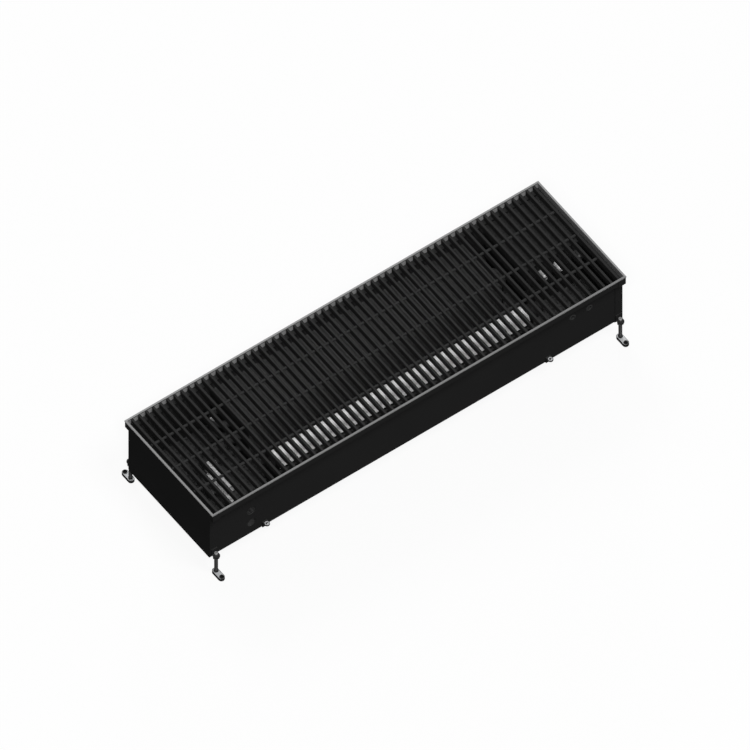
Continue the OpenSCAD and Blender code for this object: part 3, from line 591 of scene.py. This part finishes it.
ring_x = np.linspace(rotor_low[0], rotor_high[0] - RING, ROTOR_SECTIONS + 1)
rings = [rotor_ring(x, 0.0 if k in (0, ROTOR_SECTIONS) else BORE) for k, x in enumerate(ring_x)]
IN_END_RING = 0.2       # the blades stop this far inside the end rings' outer faces
blades = rotor_blades(rotor_low[0] + IN_END_RING, rotor_high[0] - IN_END_RING)
bladed_rotor = piece("bladed_rotor", [blades] + rings, "rotor", rotor_metal, 50)
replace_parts(bladed_rotor, "fan_rotor")

# %% [markdown]
# ## Feet
#
# A foot is set by turning its rod, so the rod's thread is what makes it work. On a thread the
# radius depends on height and direction together: going once round moves the pattern up by one
# pitch. That one rule gives a true helix.

# %% Threaded rods with slotted tips
FOOT_X, FOOT_Y = 502.0, 145.5
ROD_R, ROD_TOP, THREAD_LOW, THREAD_HIGH = 4.0, 67.0, 10.0, 64.4
THREAD_PITCH, THREAD_DEPTH = 1.25, 0.61
SPIGOT = [(0, 4.3), (2.5, 4.3), (2.5, 7.2), (4, 7.2), (4, 10.1), (0, 10.1)]     # (radius, height)
SLOT_HALF, SLOT_DEEP = 0.6, 2.8


def threaded_rod(x, y, low, high, per_turn=8):
    """radius = R - depth * (1 - wave), a wave of phase = height / pitch - direction / full turn."""
    z = np.arange(low, high, THREAD_PITCH / per_turn)[:, None]
    phase = (z / THREAD_PITCH - directions()[None] / TURN) % 1
    wave = np.clip(1.25 * (1 - np.abs(2 * phase - 1)) - 0.12, 0, 1)     # crest and root are flat
    fade = np.clip(np.minimum(z - low, high - z) / THREAD_PITCH, 0, 1)
    radius = ROD_R - 0.02 - THREAD_DEPTH * (1 - wave * fade) * np.ones(STEPS)
    ends = np.zeros((1, STEPS))
    radius = np.concatenate([ends, radius[:1], radius, radius[-1:], ends])
    level = np.concatenate([[low], [low], z[:, 0], [high], [high]])[:, None] * np.ones(STEPS)
    return spun(radius, level, (x, y, 0))


def slot_half(x, y, side):
    """Half of the slotted end: y = side * (radius * cos a, but no less than half the slot)."""
    low = ROD_TOP - SLOT_DEEP
    profile = np.array([(0, low), (ROD_R - 0.5, low), (ROD_R, low + 0.5), (ROD_R, ROD_TOP - 0.9),
                        (ROD_R - 0.9, ROD_TOP), (0, ROD_TOP)])
    reach = np.arccos(SLOT_HALF / ROD_R)
    a = np.linspace(-reach, reach, 15)
    radius, z = profile[:, :1], profile[:, 1:] + 0 * a
    across = np.maximum(radius * np.cos(a), SLOT_HALF)
    return np.stack([x + radius * np.sin(a), y + side * across, z], -1), grid_faces(*z.shape)


for corner, (sx, sy) in CORNERS.items():
    x, y, body = sx * FOOT_X, sy * FOOT_Y, f"rod_{corner}"
    shaft = [threaded_rod(x, y, THREAD_LOW, THREAD_HIGH), turned(SPIGOT, (x, y, 0))]
    rod = piece(f"threaded_rod_{corner}", shaft, body, fixing_dark, 30)
    halves = [slot_half(x, y, 1), slot_half(x, y, -1)]
    piece(f"rod_tip_{corner}", halves, body, rod_tip, 30)
    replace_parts(rod, f"foot_rod_{corner}")

# %% Nuts under the brackets
NUT_Z, NUT_HIGH, NUT_APOTHEM, NUT_BORE = 51.0, 6.5, 6.5, 4.05
nuts = [hex_nut(NUT_APOTHEM, NUT_BORE, NUT_HIGH, (sx * FOOT_X, sy * FOOT_Y, NUT_Z), turn=np.pi / 6)
        for sx, sy in CORNERS.values()]
bracket_nuts = piece("bracket_nuts", nuts, "casing", fixing_dark)
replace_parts(bracket_nuts, "foot_nuts")

# %% [markdown]
# ## Screws, rings and seams
#
# The casing is folded, hooked, welded and screwed together, and that shows in small marks: a
# bright eyelet in each anchor lug, pressed weld spots down the folded strips, a bead of solder
# where each bend meets its tube.

# %% Screws
LUG_X, WALL_Y, SHEET = (-376.0, 328.0), 137.0, 1.5     # WALL_Y: the trough wall's inner face
SIDES = (-1, 1)


def all_screws(head_r, places, axis=Z, washer=0.0):
    """One list with the surfaces of equal screws at several places."""
    return [part for at in places for part in screw(head_r, at, axis, washer)]


LUG_SCREW_Z, LUG_FACE = 57.0, WALL_Y + 2.5
lug_heads = [part for x in LUG_X for side in SIDES
             for part in screw(3.0, (x, side * LUG_FACE, LUG_SCREW_Z), side * Y)]
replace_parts(piece("lug_screw_heads", lug_heads, "casing", fixing_dark), "lug_screws")

LID_TOP, FOOT_SHEET_TOP = 180.5, 53.0
lid_places = [(x, y, LID_TOP) for x in (382.0, 494.0) for y in (5.5, 119.0)]
lid_heads = all_screws(3.2, lid_places, washer=0.5)
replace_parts(piece("lid_screw_heads", lid_heads, "casing", fixing_dark), "lid_screws")

coil_feet = [(x, y, FOOT_SHEET_TOP) for x in (-320.0, 330.0) for y in (17.0, 122.0)]
fan_feet = [(x, y, FOOT_SHEET_TOP) for x in (-311.25, 335.75) for y in (-79.0, -51.0)]
sheet_heads = all_screws(3.4, coil_feet + fan_feet, washer=0.6)
piece("foot_sheet_screws", sheet_heads, "casing", fixing_dark)

MOTOR_FACE_X, FAN_Y, FAN_Z, MOTOR_CIRCLE = 327.0, -65, 130, 13.3
motor_places = [(MOTOR_FACE_X, FAN_Y + MOTOR_CIRCLE * np.cos(t), FAN_Z + MOTOR_CIRCLE * np.sin(t))
                for t in np.radians([90, 210, 330])]
piece("motor_screws", all_screws(2.2, motor_places, -X), "casing", zinc)

terminal_places = [(401.25 + 9 * k, 37.0, 99.5) for k in range(9)]
piece("terminal_screws", all_screws(2.2, terminal_places), "casing", zinc)

# %% Eyelets, seals and solder beads, each a closed profile of (radius, height)
EYELET = [(2.8, 67.0), (4.7, 67.0), (5.0, 67.35), (4.7, 67.9), (3.6, 68.1), (2.8, 67.8)]
SEAL = [(4.0, 18.2), (5.0, 18.2), (5.1, 19.25), (4.5, 19.6), (4.0, 19.2)]
BEAD = [(7.4, -1.6), (7.9, -1.2), (8.5, -0.3), (8.6, 0.3), (8.0, 1.2), (7.4, 1.6)]
LUG_HOLE_Y = 146.0
eyelet_places = [(x, side * LUG_HOLE_Y, 0) for x in LUG_X for side in SIDES]
gland_places = [(x, -8.5, 148.0) for x in (404.0, 443.0, 490.0)]
tube_ends = [(x, y, z) for x in (-316.0, 326.0) for y in (29.5, 69.5, 109.5) for z in (86.5, 124.5)]
piece("lug_eyelets", [turned(EYELET, at, loop=True) for at in eyelet_places],
      "casing", zinc)
piece("gland_seals", [turned(SEAL, at, -Y, loop=True) for at in gland_places],
      "casing", rubber_black)
piece("solder_beads", [turned(BEAD, at, X, loop=True) for at in tube_ends],
      "casing", pipe_coat)

# %% Union nuts with their chamfers and clamp rings
CLAMP_RING = [(7.5, 11.5), (10.6, 11.5), (11.0, 11.9), (11.0, 14.1), (10.6, 14.5), (7.5, 14.5)]
UNION_APOTHEM, UNION_BORE, UNION_LONG = 12.55, 7.5, 12.0
union_places = [(-408.0, -6.0, 124.5), (-408.0, -6.0, 86.5)]     # supply, return
unions = [part for at in union_places
          for part in (hex_nut(UNION_APOTHEM, UNION_BORE, UNION_LONG, at, Y),
                       turned(CLAMP_RING, at, Y, loop=True))]
chamfered = piece("chamfered_union_nuts", unions, "casing", nickel)
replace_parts(chamfered, "union_nuts")

# %% Weld spots on the folded strips: a shallow crown in a pressed ring, as (radius, height)
WELD = [(0, -0.3), (2.9, -0.3), (2.6, 0.14), (2.3, 0.05), (1.6, 0.1518), (0.8, 0.2024), (0, 0.22)]
STRIP_X, STRIP_Y, WELD_Z = 503.0, WALL_Y + SHEET, (88.0, 116.0, 144.0, 168.0)
spots = [turned(WELD, (sx * STRIP_X, sy * STRIP_Y, z), sy * Y, steps=20)
         for sx in SIDES for sy in SIDES for z in WELD_Z]
piece("weld_spots", spots, "casing", black_coat)

# %% [markdown]
# ## Stage, light and camera
#
# The photograph is a parallel view on plain white. The camera is orthographic and turned to
# the same direction. Its distance doesn't matter, and its scale was worked out from the rim.
# The floor and the world look white to the camera and in reflections, while the light on the
# heater stays gentle: strong from above, weaker on the front, weakest on the left end. One low
# lamp stands behind, for the back and the right end, which the photograph doesn't show.

# %% Camera
from mathutils import Matrix, Vector

AZIMUTH, ELEVATION = np.radians(-126.15), np.radians(52.49)
PICTURE, PIXEL = 750, 2.0055 * MM           # the picture's side in pixels, a pixel's size in metres
RIM_CORNER = Vector((-0.514, 0.150, 0.200))     # the rim's back left corner, and its pixel
SEEN_AT = (124.35, 420.58)
AWAY, FARTHEST = 4, 50                      # metres
toward = Vector((np.cos(ELEVATION) * np.cos(AZIMUTH), np.cos(ELEVATION) * np.sin(AZIMUTH),
                 np.sin(ELEVATION)))
right = Vector((-np.sin(AZIMUTH), np.cos(AZIMUTH), 0.0))
upward = toward.cross(right)
middle = (right * (RIM_CORNER.dot(right) - (SEEN_AT[0] - PICTURE / 2) * PIXEL)
          + upward * (RIM_CORNER.dot(upward) - (PICTURE / 2 - SEEN_AT[1]) * PIXEL))
camera = bpy.data.objects.new("camera", bpy.data.cameras.new("camera"))
camera.data.type = "ORTHO"
camera.data.ortho_scale = PICTURE * PIXEL
camera.data.clip_end = FARTHEST
axes = Matrix((right, upward, toward)).transposed()
camera.matrix_world = Matrix.Translation(middle + toward * AWAY) @ axes.to_4x4()
bpy.context.scene.collection.objects.link(camera)
bpy.context.scene.camera = camera
bpy.context.scene.view_settings.view_transform = "Standard"
print("camera scale", round(camera.data.ortho_scale, 4), "m")

# %% Floor and world
FLOOR_GREY, FLOOR_GLOW = (0.08, 0.08, 0.08, 1), 0.90
SKY_GREY, WHITE = (0.16, 0.16, 0.16, 1), (1, 1, 1, 1)


def seen_directly(tree):
    """1 for camera, mirror and glass rays, 0 for the light that falls on things."""
    path = add(tree, "ShaderNodeLightPath")
    either = math(tree, "MAXIMUM", path.outputs["Is Camera Ray"], path.outputs["Is Glossy Ray"])
    return math(tree, "MAXIMUM", either, path.outputs["Is Transmission Ray"])


def stage_floor(size=9.0):
    """A flat plane under the feet: point (u, v) = (u, v, 0) * size."""
    u, v = np.meshgrid([-0.5, 0.5], [-0.5, 0.5], indexing="ij")
    mesh = bpy.data.meshes.new("floor")
    points = np.stack([u, v, 0 * u], -1).reshape(-1, 3) * size
    mesh.from_pydata(points.tolist(), [], [(0, 2, 3, 1)])
    made = bpy.data.objects.new("floor", mesh)
    bpy.context.scene.collection.objects.link(made)
    pale = bpy.data.materials.new("pale_floor")
    pale.use_nodes = True
    shader = pale.node_tree.nodes["Principled BSDF"]
    shader.inputs["Base Color"].default_value = FLOOR_GREY
    shader.inputs["Roughness"].default_value = 1.0
    shader.inputs["Specular IOR Level"].default_value = 0.0
    shader.inputs["Emission Color"].default_value = WHITE
    glow = math(pale.node_tree, "MULTIPLY", seen_directly(pale.node_tree), FLOOR_GLOW)
    pale.node_tree.links.new(glow, shader.inputs["Emission Strength"])
    mesh.materials.append(pale)


stage_floor()
sky = bpy.data.worlds.new("studio")
bpy.context.scene.world = sky
sky.use_nodes = True
sky_level = blend_colour(sky.node_tree, seen_directly(sky.node_tree), SKY_GREY, WHITE)
sky.node_tree.links.new(sky_level, sky.node_tree.nodes["Background"].inputs["Color"])
print("stage: floor under", sky.name)

# %% Soft lamps
HEATER_MIDDLE = Vector((0, 0, 0.1))


def softbox(name, place, size, power):
    """A square area lamp that looks at the heater's middle."""
    light = bpy.data.lights.new(name, "AREA")
    light.size, light.energy = size, power
    made = bpy.data.objects.new(name, light)
    spot = Vector(place)
    look = (spot - HEATER_MIDDLE).to_track_quat("Z", "Y").to_matrix().to_4x4()
    made.matrix_world = Matrix.Translation(spot) @ look
    bpy.context.scene.collection.objects.link(made)


softbox("overhead", (0.9, -4.0, 9.0), 3.0, 400)
softbox("front_left", (-3.6, -4.9, 7.9), 1.2, 430)
softbox("behind", (1.0, 6.5, 5.5), 3.0, 230)
softbox("behind_low", (4.2, 6.4, 1.0), 1.4, 320)
